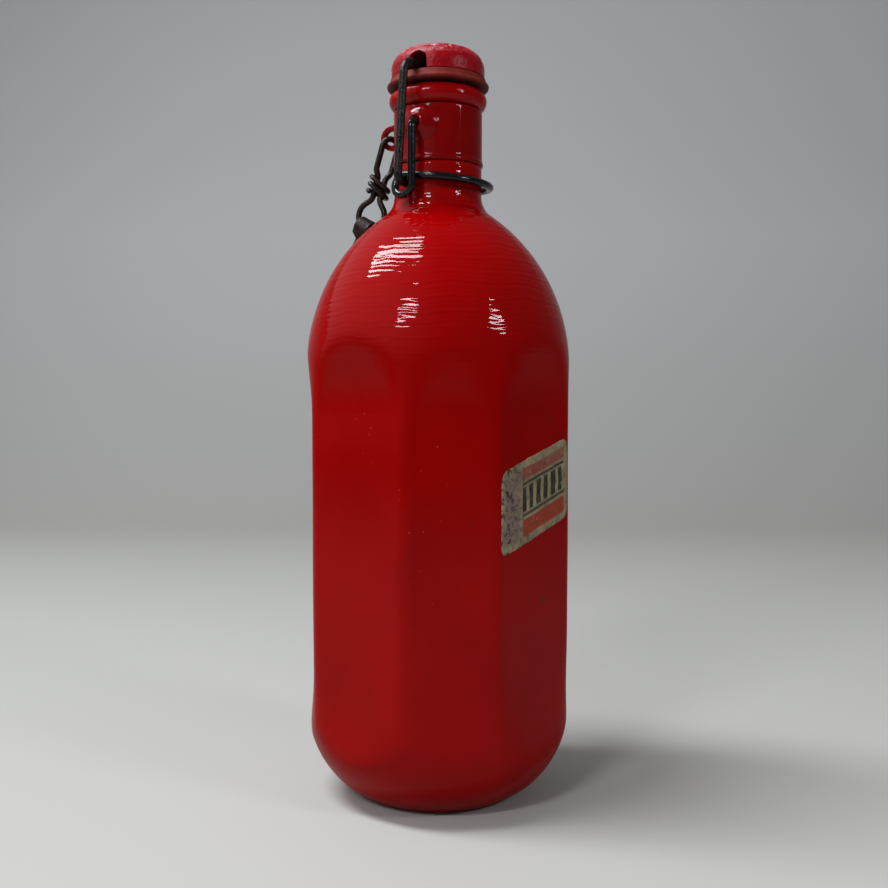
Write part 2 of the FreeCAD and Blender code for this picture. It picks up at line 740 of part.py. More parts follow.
# The strap: a band folded over the lower loop of the link, its two leaves lying along the shoulder.
# The fold is drawn across the band, and the outline of the band is drawn from the side.
leaf = "(fold_slit / 2 + strap_thickness)"
fold_outer = "(fold_radius + strap_thickness)"
leaf_end = "(shoulder_round * 0.6)"
folded = doc.addObject("PartDesign::Body", "strap_folded")
fold_corners = [
    (leaf_end, "fold_slit / 2"),
    (leaf_end, leaf),
    ("fold_length", leaf),
    ("0", fold_outer),
    ("0", "-" + fold_outer),
    ("fold_length", "-" + leaf),
    (leaf_end, "-" + leaf),
    (leaf_end, "-fold_slit / 2"),
    ("fold_length - fold_pinch", "-fold_slit / 2"),
    ("0", "-fold_radius"),
    ("0", "fold_radius"),
    ("fold_length - fold_pinch", "fold_slit / 2"),
]
fold_bends = {3: (fold_outer + " * 1.0001", 1), 9: ("fold_radius * 1.0001", -1)}
fold_sketch = outline(folded, "fold_outline", "XY_Plane", fold_corners, fold_bends)
doc.recompute()
fold_pad = folded.newObject("PartDesign::Pad", "fold_band")
fold_pad.Profile = fold_sketch
fold_pad.Midplane = True
fold_pad.setExpression("Length", "Sizes.strap_width * 5")
folded.Tip = fold_pad
fold_down = FreeCAD.Vector(0, value("cos(fold_angle * 1deg)"), -value("sin(fold_angle * 1deg)"))
fold_axis = FreeCAD.Vector(0, value("sin(fold_angle * 1deg)"), value("cos(fold_angle * 1deg)"))
fold_point = FreeCAD.Vector(0, value("fold_y"), value("fold_z"))
folded.Placement = FreeCAD.Placement(
    fold_point, FreeCAD.Rotation(fold_down, fold_axis.cross(fold_down), fold_axis, "XYZ"))


def on_fold(along, aside):
    """Point beside the fold, from distances along and across the band."""
    return ("fold_y + (" + along + ") * cos(fold_angle * 1deg) + (" + aside + ") * sin(fold_angle * 1deg)",
            "fold_z - (" + along + ") * sin(fold_angle * 1deg) + (" + aside + ") * cos(fold_angle * 1deg)")


def on_shoulder(distance, angle):
    """Point over the shoulder dome, from a distance to its centre and an angle."""
    return ("dome_place + " + distance + " * cos(" + angle + " * 1deg)",
            "shoulder_height + " + distance + " * sin(" + angle + " * 1deg)")


above = "-2 * " + fold_outer
band_corners = [
    on_fold(above, "-fold_inner_width"),
    on_shoulder("strap_inner", "strap_start_angle"),
    on_shoulder("strap_inner", "strap_end_angle"),
    on_shoulder("strap_outer", "strap_end_angle"),
    on_shoulder("strap_outer", "strap_start_angle"),
    on_fold("fold_radius", "fold_outer_width"),
    on_fold(above, "fold_outer_width"),
]
band_bends = {1: ("strap_inner", -1), 2: ("strap_width / 2 * 1.0001", 1), 3: ("strap_outer", 1)}
band = doc.addObject("PartDesign::Body", "strap_band")
band_sketch = outline(band, "band_outline", "YZ_Plane", band_corners, band_bends)
doc.recompute()
band_pad = band.newObject("PartDesign::Pad", "band_side")
band_pad.Profile = band_sketch
band_pad.Midplane = True
band_pad.setExpression("Length", "Sizes.strap_thickness * 8")
band.Tip = band_pad
doc.recompute()
strap_blank = doc.addObject("Part::MultiCommon", "strap_blank")
strap_blank.Shapes = [folded, band]
rivet_point = FreeCAD.Vector(
    0,
    value("dome_place + strap_middle * cos(rivet_angle * 1deg)"),
    value("shoulder_height + strap_middle * sin(rivet_angle * 1deg)"))
sideways = FreeCAD.Rotation(FreeCAD.Vector(0, 1, 0), 90)
rivet_hole = doc.addObject("Part::Cylinder", "strap_rivet_hole")
rivet_hole.setExpression("Radius", "Sizes.rivet_radius + Sizes.press_gap")
rivet_hole.setExpression("Height", "Sizes.strap_thickness * 8")
rivet_hole.Placement = FreeCAD.Placement(
    rivet_point - FreeCAD.Vector(4 * value("strap_thickness"), 0, 0), sideways)
strap_tab = doc.addObject("Part::Cut", "strap_tab")
strap_tab.Label = "strap_tab"
strap_tab.Base = strap_blank
strap_tab.Tool = rivet_hole
doc.recompute()

# The rivet through both leaves, with a low round head on each side.
rivet = doc.addObject("PartDesign::Body", "strap_rivet")
rivet.Label = "strap_rivet"
head_base = "(" + leaf + " + press_gap)"
head_top = "(" + head_base + " + rivet_head_height)"
rivet_corners = [
    ("0", "-" + head_top),
    ("rivet_radius", "-" + head_top),
    ("rivet_head", "-" + head_base),
    ("rivet_radius", "-" + head_base),
    ("rivet_radius", head_base),
    ("rivet_head", head_base),
    ("rivet_radius", head_top),
    ("0", head_top),
]
head_round = "(rivet_head * 1.2)"
rivet_sketch = outline(rivet, "rivet_outline", "XZ_Plane", rivet_corners, {1: (head_round, 1), 5: (head_round, 1)})
revolve(rivet, "rivet_turned", rivet_sketch)
rivet.Placement = FreeCAD.Placement(rivet_point, sideways)
doc.recompute()

# The sticker: a thin rounded sheet on the broad flat at the front, its edges rising to the right.
sticker = doc.addObject("PartDesign::Body", "sticker")
sticker.Label = "sticker"
on_flat = FreeCAD.Placement(FreeCAD.Vector(0, 0, value("wide_flat + sticker_gap")), FreeCAD.Rotation())
sticker_corners = [
    ("-sticker_half_width", "sticker_low_height"),
    ("sticker_half_width", "sticker_low_height + sticker_rise_height"),
    ("sticker_half_width", "sticker_low_height + sticker_rise_height + sticker_height"),
    ("-sticker_half_width", "sticker_low_height + sticker_height"),
]
sticker_sketch = outline(sticker, "sticker_outline", "XZ_Plane", sticker_corners, {}, on_flat)
doc.recompute()
sheet_pad = sticker.newObject("PartDesign::Pad", "paper")
sheet_pad.Profile = sticker_sketch
sheet_pad.setExpression("Length", "Sizes.sticker_thickness")
sticker.Tip = sheet_pad
doc.recompute()
upright = []
for index, edge in enumerate(sheet_pad.Shape.Edges):
    if abs(edge.Length - value("sticker_thickness")) < 1e-6:
        upright.append("Edge%d" % (index + 1))
rounded = sticker.newObject("PartDesign::Fillet", "paper_corners")
rounded.Base = (sheet_pad, upright)
rounded.setExpression("Radius", "Sizes.sticker_corner")
sticker.Tip = rounded
sticker.Placement = turned_body
doc.recompute()

nodes = [
    bottle_shell, collar, lever_wire, bail_wire, stopper, seal,
    carry_link, link_binding, strap_tab, rivet, sticker,
]
for item in doc.Objects:
    if "Invalid" in item.State or "Error" in item.State:
        raise RuntimeError("not built: " + item.Name)
os.makedirs("parts", exist_ok=True)
for item in nodes:
    shape = item.Shape
    if shape.isNull() or not shape.isValid():
        raise RuntimeError("bad shape: " + item.Label)
    print("%s volume %.1f mm3, solids %d" % (item.Label, shape.Volume, len(shape.Solids)))
    shape.exportStep("parts/" + item.Label + ".step")
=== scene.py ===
import math

import bpy
import numpy as np
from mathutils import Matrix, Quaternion, Vector


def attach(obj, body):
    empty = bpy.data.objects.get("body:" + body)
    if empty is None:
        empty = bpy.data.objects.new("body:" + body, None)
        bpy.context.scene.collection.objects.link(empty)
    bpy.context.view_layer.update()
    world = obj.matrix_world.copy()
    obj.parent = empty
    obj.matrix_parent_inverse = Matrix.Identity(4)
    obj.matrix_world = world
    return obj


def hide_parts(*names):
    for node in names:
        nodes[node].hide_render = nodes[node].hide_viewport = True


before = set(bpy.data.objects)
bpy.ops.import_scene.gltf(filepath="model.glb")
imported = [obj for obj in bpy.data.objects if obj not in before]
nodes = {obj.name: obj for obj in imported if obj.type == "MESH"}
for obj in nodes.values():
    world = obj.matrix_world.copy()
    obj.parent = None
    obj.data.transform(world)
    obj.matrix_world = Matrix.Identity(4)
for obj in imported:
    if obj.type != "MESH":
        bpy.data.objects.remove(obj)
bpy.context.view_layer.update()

MM = 0.001
FULL_TURN = 2 * math.pi
UP = Vector((0, 0, 1))


# Mesh helpers, in millimetres

def add_mesh(name, points, faces, material, body, stands_for, slot):
    """New smooth mesh piece from points in millimetres, riding on a body in place of a CAD node."""
    mesh = bpy.data.meshes.new(name)
    mesh.from_pydata([tuple(point) for point in np.asarray(points) * MM], [], faces)
    mesh.update()
    mesh.shade_smooth()
    piece = bpy.data.objects.new(name, mesh)
    bpy.context.scene.collection.objects.link(piece)
    mesh.materials.append(material)
    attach(piece, body)
    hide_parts(stands_for)
    return piece


def arc(centre, radius, start, end, count):
    """Points of a circle in the (r, z) half plane, angles in degrees."""
    angles = np.radians(np.linspace(start, end, count))
    return [(centre[0] + radius * math.cos(angle), centre[1] + radius * math.sin(angle)) for angle in angles]


def line(start, end, count):
    """Evenly spaced points of a straight run, without its first point."""
    across = end[0] - start[0]
    rise = end[1] - start[1]
    return [(start[0] + across * k / count, start[1] + rise * k / count) for k in range(1, count + 1)]


def round_angles(count):
    """Evenly spaced angles of a full turn."""
    return np.linspace(0, FULL_TURN, count, endpoint=False)


def turned_ring(radius, z, angles):
    """One ring of points round the axis; its radius may change with the angle."""
    return np.stack([radius * np.cos(angles), radius * np.sin(angles), np.full(len(angles), z)], 1)


def lathe_faces(rings, sides, end_centres=False):
    """Faces of a turned mesh whose vertices are ring after ring, then its two end centres if it has them."""
    faces = []
    for i in range(rings - 1):
        for j in range(sides):
            k = (j + 1) % sides
            faces.append((i * sides + j, i * sides + k, (i + 1) * sides + k, (i + 1) * sides + j))
    if end_centres:
        first_centre = rings * sides
        last_centre = first_centre + 1
        last_ring = (rings - 1) * sides
        faces += [(first_centre, (j + 1) % sides, j) for j in range(sides)]
        faces += [(last_centre, last_ring + j, last_ring + (j + 1) % sides) for j in range(sides)]
    return faces


# Sizes of the vessel, in millimetres and degrees

CORNER = 41.1
WALL = 1.3
DISH_FLAT = 3.0
DISH_HEIGHT = 4.0
DISH_ROUND = 38.125
DISH_END_ANGLE = 63.55
STAND_INNER = 20.0
STAND_OUTER = 24.18
BASE_TOP = 27.0
BASE_ROUND = 30.0
BASE_CENTRE = (CORNER - BASE_ROUND, BASE_TOP)
BASE_ANGLE = -64.16
BASE_ANGLE_INSIDE = -63.57
SHOULDER = 133.1
DOME_ROUND = 56.9
DOME_CENTRE = (CORNER - DOME_ROUND, SHOULDER)
DOME_END_ANGLE = 54.81
NECK = 13.6
NECK_BOTTOM = 186.14
NECK_TOP = 195.0
NECK_TOP_INSIDE = 192.4
NECK_EDGE_BOTTOM = NECK_TOP - 0.4
NECK_EDGE = [(NECK - 0.2, NECK_TOP - 0.1), (NECK - 0.6, NECK_TOP)]
FLARE_ROUND = 8.0
FLARE_CENTRE = (NECK + FLARE_ROUND, NECK_BOTTOM)
TUBE = 11.9
TUBE_TOP = 212.1
TUBE_FILLET = 0.3
MOUTH = 10.2
MOUTH_TOP = 217.75
LIP_CENTRE = (12.1, 215.3)
LIP_ROUND = 3.1
LIP_START_ANGLE = -93.7
LIP_END_ANGLE = 127.8
SIDES = 384

BROAD_FLAT = 37.4
BROAD_TURN = -13.6
NARROW_FLAT = 39.3
NARROW_TURN = 31.4
QUARTERS = (0, 90, 180, 270)
FLATS = [(BROAD_FLAT, BROAD_TURN + quarter) for quarter in QUARTERS]
FLATS += [(NARROW_FLAT, NARROW_TURN + quarter) for quarter in QUARTERS]
FLAT_TOP = 118.0
FLAT_BOTTOM = 39.0
FLAT_EASE = 3.0
TOP_ROUND = 63.0
LOW_ROUND = 110.0
ROUND_SHARE = 0.9
EDGE_SOFTNESS = 0.4
END_SOFTNESS = 1.6
LOW_SOFT_START = FLAT_BOTTOM + 14.0
LOW_SOFT_SPAN = 26.0
TOP_SOFT_START = FLAT_TOP + 2.0
TOP_SOFT_SPAN = 14.0
LEAST_FACING = 0.4
FAR_OUT = 1000.0
FLATTED_RADIUS = 25.0

# Each wave of the dents: lobes round the vessel, height of one radian, start in radians, share.
DENT_WAVES = [(3, 17.0, 1.3, 1.0), (5, -23.0, 0.4, 1.0), (2, 9.0, 2.1, 1.0), (9, 6.3, 0.0, 0.6)]
DENT_DEPTH = 0.09
DENT_BOTTOM = 6.0
DENT_TOP = 178.0
DENT_FADE = 25.0


# Form of the vessel

def soft_min(a, b, reach):
    """The smaller of two, with the corner between them rounded inwards."""
    near = np.maximum(reach - np.abs(a - b), 0.0) / reach
    return np.minimum(a, b) - near * near * reach / 4


def with_flats(radius, z, phi, inset):
    """Radius of a turned form after the eight flats are pressed in; each runs out in a round at both ends."""
    past = np.maximum(z - FLAT_TOP + FLAT_EASE, 0) + np.maximum(FLAT_BOTTOM + FLAT_EASE - z, 0)
    beyond = past ** 2 / (past + FLAT_EASE * 4 / 3)
    end_round = np.where(z < FLAT_BOTTOM + FLAT_EASE, LOW_ROUND, TOP_ROUND) + inset
    run_out = end_round - np.sqrt(end_round ** 2 - np.minimum(beyond, end_round * ROUND_SHARE) ** 2)
    near_bottom = np.clip((LOW_SOFT_START - z) / LOW_SOFT_SPAN, 0, 1)
    near_top = np.clip((z - TOP_SOFT_START) / TOP_SOFT_SPAN, 0, 1)
    softness = EDGE_SOFTNESS + END_SOFTNESS * (near_bottom + near_top)
    for distance, turn in FLATS:
        facing = np.cos(phi - math.radians(turn))
        plane = (distance - inset + run_out) / np.maximum(facing, LEAST_FACING)
        plane = np.where(facing > LEAST_FACING, plane, FAR_OUT)
        radius = soft_min(radius, plane, softness)
    return radius


def dents(phi, z):
    """Slight hand made unevenness of the thin wall, always inwards."""
    waves = sum(share * np.sin(lobes * phi + z / rise + start) for lobes, rise, start, share in DENT_WAVES)
    whole = sum(share for lobes, rise, start, share in DENT_WAVES)
    fade = np.clip((z - DENT_BOTTOM) / DENT_FADE, 0, 1) * np.clip((DENT_TOP - z) / DENT_FADE, 0, 1)
    return (waves / whole - 1) * DENT_DEPTH * fade


def skin(radius, z, phi, inset=0.0):
    """Radius of the outer skin, or of the inner one at its inset."""
    return with_flats(radius, z, phi, inset) + dents(phi, z)


def outer_profile():
    """Outside of the turned form, from the dish under the base up and over the lip."""
    profile = [(DISH_FLAT / 2, DISH_HEIGHT), (DISH_FLAT, DISH_HEIGHT)]
    profile += arc((DISH_FLAT, DISH_HEIGHT - DISH_ROUND), DISH_ROUND, 90, DISH_END_ANGLE, 12)[1:]
    profile += line((STAND_INNER, 0.0), (STAND_OUTER, 0.0), 4)
    profile += arc(BASE_CENTRE, BASE_ROUND, BASE_ANGLE, 0, 60)[1:]
    profile += line((CORNER, BASE_TOP), (CORNER, SHOULDER), 56)
    profile += arc(DOME_CENTRE, DOME_ROUND, 0, DOME_END_ANGLE, 130)[1:]
    profile += arc(FLARE_CENTRE, FLARE_ROUND, 180 + DOME_END_ANGLE, 180, 24)[1:]
    profile += line((NECK, NECK_BOTTOM), (NECK, NECK_EDGE_BOTTOM), 8)
    profile += NECK_EDGE
    profile += [(TUBE + TUBE_FILLET, NECK_TOP), (TUBE, NECK_TOP + TUBE_FILLET)]
    profile += line((TUBE, NECK_TOP + TUBE_FILLET), (TUBE, TUBE_TOP), 8)
    profile += arc(LIP_CENTRE, LIP_ROUND, LIP_START_ANGLE, LIP_END_ANGLE, 48)
    return profile


def inner_profile():
    """Inside of the turned form, from the mouth down to the middle of the base."""
    profile = line((MOUTH, MOUTH_TOP), (MOUTH, NECK_TOP), 10)
    profile += line((MOUTH, NECK_TOP), (NECK - WALL, NECK_TOP_INSIDE), 3)
    profile += line((NECK - WALL, NECK_TOP_INSIDE), (NECK - WALL, NECK_BOTTOM), 3)
    profile += arc(FLARE_CENTRE, FLARE_ROUND + WALL, 180, 180 + DOME_END_ANGLE, 12)[1:]
    profile += arc(DOME_CENTRE, DOME_ROUND - WALL, DOME_END_ANGLE, 0, 40)[1:]
    profile += line((CORNER - WALL, SHOULDER), (CORNER - WALL, BASE_TOP), 20)
    profile += arc(BASE_CENTRE, BASE_ROUND - WALL, 0, BASE_ANGLE_INSIDE, 24)[1:]
    profile += [(STAND_INNER, WALL)]
    profile += arc((DISH_FLAT, DISH_HEIGHT + WALL - DISH_ROUND), DISH_ROUND, DISH_END_ANGLE, 90, 10)[1:]
    return profile


def shell_ring(radius, z, phi, inset):
    """One ring of the shell; only its wide part has flats and dents."""
    if radius > FLATTED_RADIUS:
        radius = skin(np.full(SIDES, radius), np.full(SIDES, z), phi, inset)
    return turned_ring(radius, z, phi)


def shell():
    """Points and faces of the hollow vessel: outer skin, inner skin and the two centres of its base."""
    phi = round_angles(SIDES)
    rings = [shell_ring(radius, z, phi, 0.0) for radius, z in outer_profile()]
    rings += [shell_ring(radius, z, phi, WALL) for radius, z in inner_profile()]
    centres = np.array([[0, 0, DISH_HEIGHT], [0, 0, DISH_HEIGHT + WALL]])
    return np.concatenate(rings + [centres]), lathe_faces(len(rings), SIDES, True)


# Materials; lengths in them are in metres

class Paint:
    """A node material, with short words for the shader nodes that are added to it."""

    def __init__(self, name):
        self.material = bpy.data.materials.new(name)
        self.material.use_nodes = True
        self.tree = self.material.node_tree
        self.shader = self.tree.nodes["Principled BSDF"]
        self.coords = self.tree.nodes.new("ShaderNodeTexCoord")

    def feed(self, socket, source):
        """Links an output to a socket, or sets the socket's own value."""
        if hasattr(source, "is_linked"):
            self.tree.links.new(source, socket)
        else:
            socket.default_value = source

    def add(self, kind, sources, **settings):
        """New node of a kind, its sockets fed by name or number."""
        node = self.tree.nodes.new("ShaderNode" + kind)
        for key, setting in settings.items():
            setattr(node, key, setting)
        for socket, source in sources.items():
            self.feed(node.inputs[socket], source)
        return node

    def place(self, stretch=(1, 1, 1)):
        """Object coordinates, stretched."""
        node = self.add("Mapping", {"Vector": self.coords.outputs["Object"], "Scale": stretch})
        return node.outputs["Vector"]

    def axis(self, name):
        """One object coordinate."""
        return self.add("SeparateXYZ", {"Vector": self.coords.outputs["Object"]}).outputs[name]

    def noise(self, scale, detail=4.0, rough=0.55, stretch=(1, 1, 1)):
        """Cloudy noise from 0 to 1, mostly near the middle."""
        sources = {"Vector": self.place(stretch), "Scale": scale, "Detail": detail, "Roughness": rough}
        return self.add("TexNoise", sources).outputs["Fac"]

    def cells(self, scale):
        """Distance from the middles of scattered cells."""
        return self.add("TexVoronoi", {"Vector": self.place(), "Scale": scale}).outputs["Distance"]

    def ramp(self, source, low, high, dark=0.0, bright=1.0):
        """Runs from dark to bright while the source runs from low to high."""
        sources = {"Value": source, "From Min": low, "From Max": high, "To Min": dark, "To Max": bright}
        return self.add("MapRange", sources).outputs["Result"]

    def band(self, source, low, high, soft=0.012):
        """One between low and high, with soft ends."""
        rise = self.ramp(source, low - soft, low + soft)
        fall = self.ramp(source, high + soft, high - soft)
        return self.times(rise, fall)

    def math(self, operation, a, b=0.0):
        """Result of one arithmetic node."""
        return self.add("Math", {0: a, 1: b}, operation=operation).outputs[0]

    def times(self, a, b):
        """Product."""
        return self.math("MULTIPLY", a, b)

    def plus(self, a, b):
        """Sum."""
        return self.math("ADD", a, b)

    def minus(self, a, b):
        """Difference."""
        return self.math("SUBTRACT", a, b)

    def larger(self, a, b):
        """The larger of two."""
        return self.math("MAXIMUM", a, b)

    def sine(self, angle):
        """Sine of an angle in radians."""
        return self.math("SINE", angle)

    def mix(self, factor, a, b):
        """Colour a at factor 0, colour b at factor 1; sockets 6, 7 and output 2 are the colour ones."""
        return self.add("Mix", {0: factor, 6: a, 7: b}, data_type="RGBA").outputs[2]

    def bump(self, height, strength, distance, below=None):
        """Normal bent by a height, over the bump below it if there is one."""
        sources = {"Height": height, "Strength": strength, "Distance": distance}
        if below is not None:
            sources["Normal"] = below
        return self.add("Bump", sources).outputs["Normal"]

    def set(self, **sources):
        """Feeds the shader's own sockets and gives the finished material."""
        for key, source in sources.items():
            self.feed(self.shader.inputs[key.replace("_", " ")], source)
        return self.material


def enamel():
    """Gloss red paint over spun metal: fine turning ripples, specks and small chips."""
    deep_red = (0.216, 0.0002, 0.0004, 1)
    bright_red = (0.256, 0.0005, 0.0008, 1)
    pale_red = (0.55, 0.14, 0.13, 1)
    dark_chip = (0.10, 0.015, 0.012, 1)
    paint = Paint("red_enamel")
    z = paint.axis("Z")
    colour = paint.mix(paint.ramp(paint.noise(28, 3), 0.35, 0.7), deep_red, bright_red)
    sparse = paint.ramp(paint.noise(38, 3, 0.6), 0.57, 0.68)
    speck = paint.times(paint.ramp(paint.cells(420), 0.10, 0.05), sparse)
    colour = paint.mix(paint.times(speck, 0.4), colour, pale_red)
    chipped_parts = paint.ramp(paint.noise(30, 1), 0.5, 0.6)
    chip = paint.times(paint.ramp(paint.noise(150, 5, 0.6), 0.715, 0.73), chipped_parts)
    colour = paint.mix(chip, colour, dark_chip)
    wander = paint.noise(60, 2, 0.5, (1, 1, 0.35))
    coarse = paint.sine(paint.plus(paint.times(z, 2700.0), paint.times(wander, 12.0)))
    fine = paint.sine(paint.plus(paint.times(z, 4300.0), paint.times(wander, 17.0)))
    streak = paint.times(paint.minus(paint.noise(70, 2, 0.5, (1, 1, 6)), 0.5), 5.0)
    ripples = paint.plus(paint.times(paint.plus(coarse, fine), 0.5), streak)
    on_shoulder = paint.ramp(z, 0.130, 0.150)
    waves = paint.times(ripples, paint.plus(paint.times(on_shoulder, 0.95), 0.05))
    rippled = paint.bump(waves, 0.35, 0.000085)
    peel = paint.bump(paint.noise(420, 2), 0.12, 0.0002, rippled)
    chipped = paint.bump(paint.minus(1.0, chip), 0.35, 0.0002, peel)
    gloss = paint.ramp(z, 0.133, 0.147, 0.32, 0.55)
    dullness = paint.ramp(paint.noise(70, 4), 0.3, 0.7, 0.28, 0.40)
    return paint.set(Base_Color=colour, Roughness=dullness, Normal=chipped, Specular_IOR_Level=0.0,
                     Coat_Weight=gloss, Coat_Roughness=0.03, Coat_IOR=1.33, Coat_Normal=rippled)


def collar_enamel():
    """Red paint of the collar, darkened as painted shade, and a little duller."""
    # deep_red and bright_red here are the body's red paint darkened: painted shade on the collar under the
    # cap.
    deep_red = (0.145, 0.0003, 0.0007, 1)
    bright_red = (0.185, 0.0007, 0.0013, 1)
    dark_chip = (0.08, 0.015, 0.012, 1)
    paint = Paint("collar_enamel")
    colour = paint.mix(paint.ramp(paint.noise(120, 4), 0.35, 0.7), deep_red, bright_red)
    chip = paint.ramp(paint.noise(420, 4, 0.6), 0.72, 0.74)
    colour = paint.mix(chip, colour, dark_chip)
    lumps = paint.bump(paint.noise(260, 3), 0.25, 0.0004)
    dullness = paint.ramp(paint.noise(160, 4), 0.3, 0.7, 0.3, 0.45)
    return paint.set(Base_Color=colour, Roughness=dullness, Normal=lumps, Specular_IOR_Level=0.0,
                     Coat_Weight=0.55, Coat_Roughness=0.05, Coat_IOR=1.33)


def black_wire():
    """Blue black lacquered wire, worn and slightly pitted."""
    blue_black = (0.003, 0.0034, 0.0045, 1)
    worn_grey = (0.012, 0.012, 0.014, 1)
    paint = Paint("black_wire")
    worn = paint.ramp(paint.noise(520, 6, 0.65), 0.52, 0.68)
    colour = paint.mix(worn, blue_black, worn_grey)
    dullness = paint.ramp(worn, 0, 1, 0.12, 0.26)
    pits = paint.bump(paint.noise(1500, 4), 0.18, 0.0002)
    return paint.set(Base_Color=colour, Roughness=dullness, Normal=pits, Specular_IOR_Level=0.28)


def rusty_wire(name, dark, brown, rust_start):
    """Dark steel wire browned with old rust; a higher start leaves less of it rusty."""
    bare_steel = (0.055, 0.048, 0.045, 1)
    paint = Paint(name)
    rust = paint.ramp(paint.noise(420, 6, 0.68), rust_start, rust_start + 0.2)
    colour = paint.mix(rust, dark, brown)
    bare = paint.ramp(paint.noise(900, 4, 0.6), 0.66, 0.74)
    colour = paint.mix(bare, colour, bare_steel)
    dullness = paint.ramp(rust, 0, 1, 0.18, 0.36)
    pits = paint.bump(paint.noise(1300, 5, 0.7), 0.45, 0.0003)
    return paint.set(Base_Color=colour, Roughness=dullness, Normal=pits, Specular_IOR_Level=0.20)


def bail_steel():
    """Wire of the yoke, the darkest of the rusty ones."""
    return rusty_wire("brown_wire", (0.005, 0.0042, 0.004, 1), (0.019, 0.012, 0.009, 1), 0.46)


def link_steel():
    """Wire of the link."""
    return rusty_wire("link_wire", (0.009, 0.0064, 0.0056, 1), (0.028, 0.0165, 0.012, 1), 0.42)


def binding_steel():
    """Wire wound round the link, the brownest."""
    return rusty_wire("binding_wire", (0.010, 0.007, 0.006, 1), (0.031, 0.018, 0.013, 1), 0.42)


def cap_plastic():
    """Red moulded cap, rubbed pale and rough on its crown."""
    deep_red = (0.205, 0.0012, 0.0045, 1)
    bright_red = (0.27, 0.0025, 0.007, 1)
    rubbed_red = (0.46, 0.085, 0.125, 1)
    pale_scratch = (0.85, 0.56, 0.60, 1)
    dark_dirt = (0.16, 0.015, 0.015, 1)
    paint = Paint("cap_plastic")
    crown = paint.ramp(paint.axis("Z"), 0.2270, 0.2314)
    colour = paint.mix(paint.ramp(paint.noise(200, 4), 0.35, 0.7), deep_red, bright_red)
    scuff = paint.times(paint.ramp(paint.noise(330, 8, 0.72), 0.42, 0.62), crown)
    colour = paint.mix(paint.times(scuff, 0.85), colour, rubbed_red)
    scratch = paint.ramp(paint.noise(800, 3, 0.5, (1, 0.10, 1)), 0.585, 0.615)
    colour = paint.mix(paint.times(scratch, paint.times(crown, 0.8)), colour, pale_scratch)
    dirt = paint.ramp(paint.noise(260, 6, 0.7), 0.64, 0.74)
    colour = paint.mix(paint.times(dirt, 0.5), colour, dark_dirt)
    dullness = paint.ramp(scuff, 0, 1, 0.26, 0.7)
    grain = paint.bump(paint.noise(700, 6, 0.7), 0.35, 0.0004)
    return paint.set(Base_Color=colour, Roughness=dullness, Normal=grain, Specular_IOR_Level=0.12)


def ring_rubber():
    """Old brownish red rubber, dusty, with painted shade under its rim."""
    brown_red = (0.118, 0.0080, 0.0052, 1)
    dusty_red = (0.165, 0.017, 0.0098, 1)
    shaded_red = (0.035, 0.007, 0.006, 1)
    paint = Paint("ring_rubber")
    colour = paint.mix(paint.ramp(paint.noise(300, 5, 0.6), 0.3, 0.7), brown_red, dusty_red)
    # Painted shade: the underside of the rim is darkened towards shaded_red.
    shade_under_rim = paint.ramp(paint.axis("Z"), 0.2196, 0.2189)
    colour = paint.mix(paint.times(shade_under_rim, 0.6), colour, shaded_red)
    dullness = paint.ramp(paint.noise(500, 3), 0.3, 0.7, 0.5, 0.66)
    grain = paint.bump(paint.noise(1100, 5), 0.25, 0.0002)
    return paint.set(Base_Color=colour, Roughness=dullness, Normal=grain, Specular_IOR_Level=0.12)


def strap_leather():
    """Dark brown leather with a fine grain, paler where it is rubbed."""
    dark_brown = (0.013, 0.007, 0.0055, 1)
    rubbed_brown = (0.037, 0.019, 0.015, 1)
    paint = Paint("strap_leather")
    rubbed = paint.ramp(paint.noise(320, 5, 0.65), 0.45, 0.68)
    colour = paint.mix(rubbed, dark_brown, rubbed_brown)
    dullness = paint.ramp(rubbed, 0, 1, 0.42, 0.6)
    grain = paint.bump(paint.cells(1500), 0.4, 0.0002)
    creases = paint.bump(paint.noise(420, 5, 0.6, (1, 0.4, 0.4)), 0.4, 0.0004, grain)
    return paint.set(Base_Color=colour, Roughness=dullness, Normal=creases, Specular_IOR_Level=0.16)


def rivet_brass():
    """Dull browned brass."""
    brass = (0.30, 0.19, 0.08, 1)
    brown = (0.07, 0.045, 0.025, 1)
    paint = Paint("rivet_brass")
    tarnish = paint.ramp(paint.noise(800, 5, 0.65), 0.4, 0.65)
    colour = paint.mix(tarnish, brass, brown)
    dullness = paint.ramp(tarnish, 0, 1, 0.3, 0.55)
    pits = paint.bump(paint.noise(1500, 4), 0.3, 0.0002)
    return paint.set(Base_Color=colour, Metallic=0.85, Roughness=dullness, Normal=pits)


